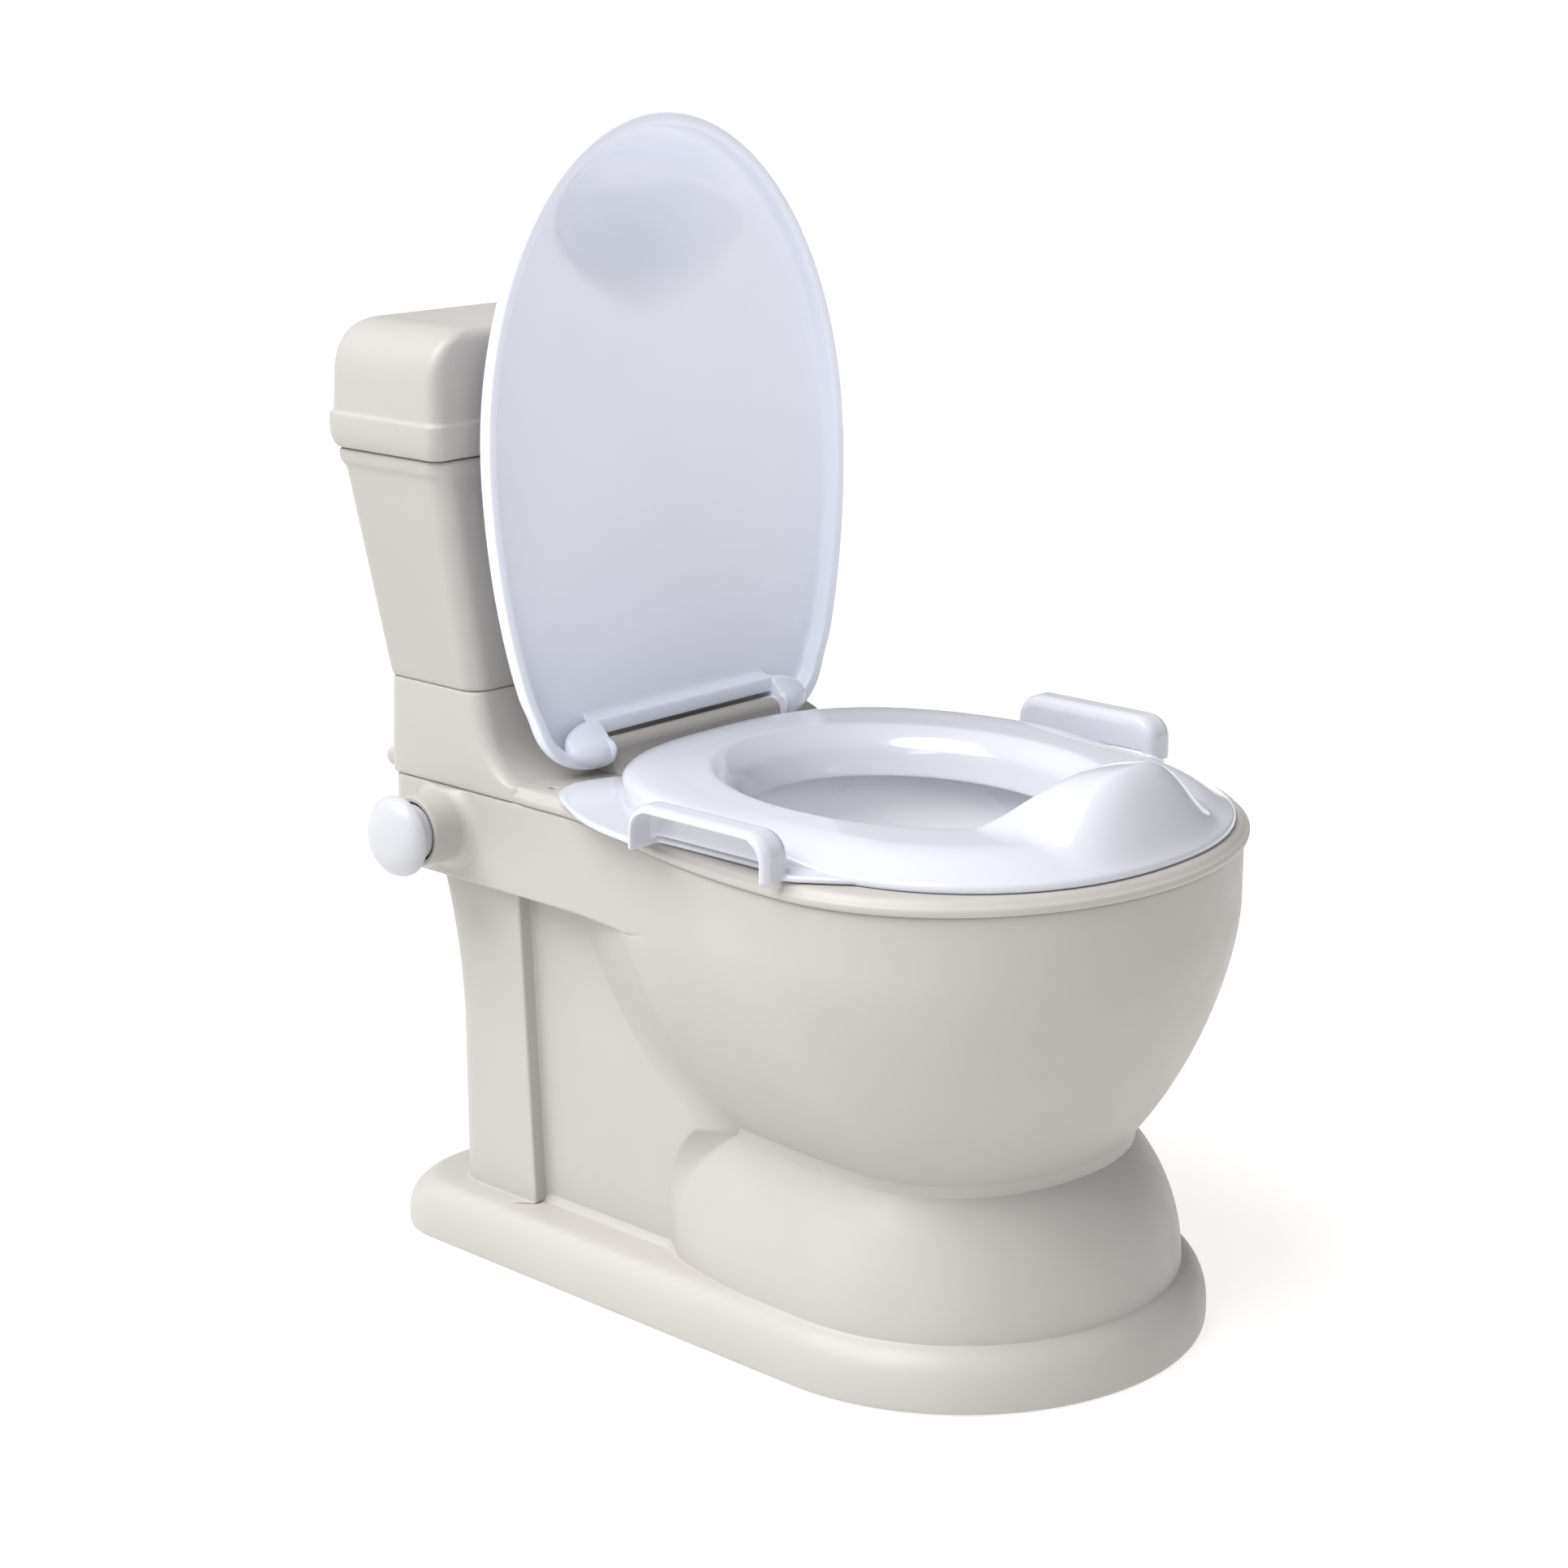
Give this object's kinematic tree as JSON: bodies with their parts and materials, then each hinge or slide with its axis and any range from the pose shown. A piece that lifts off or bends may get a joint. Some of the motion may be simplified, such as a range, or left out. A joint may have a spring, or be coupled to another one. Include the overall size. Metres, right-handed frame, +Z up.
{
  "type": "potty training chair",
  "caption": "Toilet-shaped potty training chair with a hinged cover, lift-off seat with grab handles, lift-out pot, tank with a lift-off lid and a sprung push knob.",
  "frame": {"origin": "on the floor, at the centre of the overall outline with the cover open", "axes": "+Z up, -Y towards the bowl's front, +X towards the side without the push knob, which is the sitter's left and the picture's right"},
  "size_m": [0.2946, 0.4095, 0.5526],
  "materials": {
    "shell_beige": "satin",
    "cover_white": "satin",
    "seat_white": "satin",
    "pot_white": "satin",
    "knob_white": "gloss",
    "stem_grey": "matte",
    "steel": "zinc plated",
    "rubber_grey": "matte",
    "case_grey": "matte",
    "board_green": "solder mask",
    "chip_black": "matte",
    "speaker_dark": "matte",
    "wire_red": "matte",
    "button_red": "matte",
    "cell_wrap": "satin"
  },
  "bodies": {
    "chair": {"base_shell": "shell_beige", "deck": "shell_beige", "tank_shell": "shell_beige", "antislip_feet": "rubber_grey", "deck_screws": "steel", "tank_screws": "steel", "sound_case": "case_grey", "sound_case_cover": "case_grey", "case_screws": "steel", "circuit_board": "board_green", "sound_chip": "chip_black", "speaker": "speaker_dark", "speaker_leads": "wire_red", "push_switch": "chip_black", "battery_cells": "cell_wrap", "battery_contacts": "steel", "battery_door": "shell_beige", "battery_door_screw": "steel", "knob_spring": "steel"},
    "cover": {"seat_cover": "cover_white", "hinge_pins": "cover_white"},
    "pot": {"pot": "pot_white"},
    "seat": {"training_seat": "seat_white"},
    "knob": {"flush_knob": "knob_white", "knob_stem": "stem_grey", "knob_clip": "steel"},
    "tank_top": {"tank_lid": "shell_beige"},
    "button": {"switch_button": "button_red"}
  },
  "joints": [
    {"name": "cover_hinge", "type": "hinge", "parent": "chair", "child": "cover", "pos_m": [0, 0.096, 0.257], "axis": [-1, 0, 0], "range_deg": [-92, 0]},
    {"name": "pot_lift", "type": "slide", "parent": "chair", "child": "pot", "axis": [0, 0, 1], "range_m": [0, 0.15]},
    {"name": "seat_lift", "type": "slide", "parent": "pot", "child": "seat", "axis": [0, 0, 1], "range_m": [0, 0.12]},
    {"name": "flush_push", "type": "slide", "parent": "chair", "child": "knob", "axis": [1, 0, 0], "range_m": [0, 0.004], "stiffness_N_per_m": 600, "springref_m": -0.004, "deforming": ["knob_spring"]},
    {"name": "switch_press", "type": "slide", "parent": "chair", "child": "button", "axis": [1, 0, 0], "range_m": [0, 0.001]},
    {"name": "tank_lid_lift", "type": "slide", "parent": "chair", "child": "tank_top", "axis": [0, 0.2588, 0.9659], "range_m": [0, 0.1]}
  ],
  "couplings": [
    {"joint": "switch_press", "follows": "flush_push", "ratio": 0.25}
  ]
}
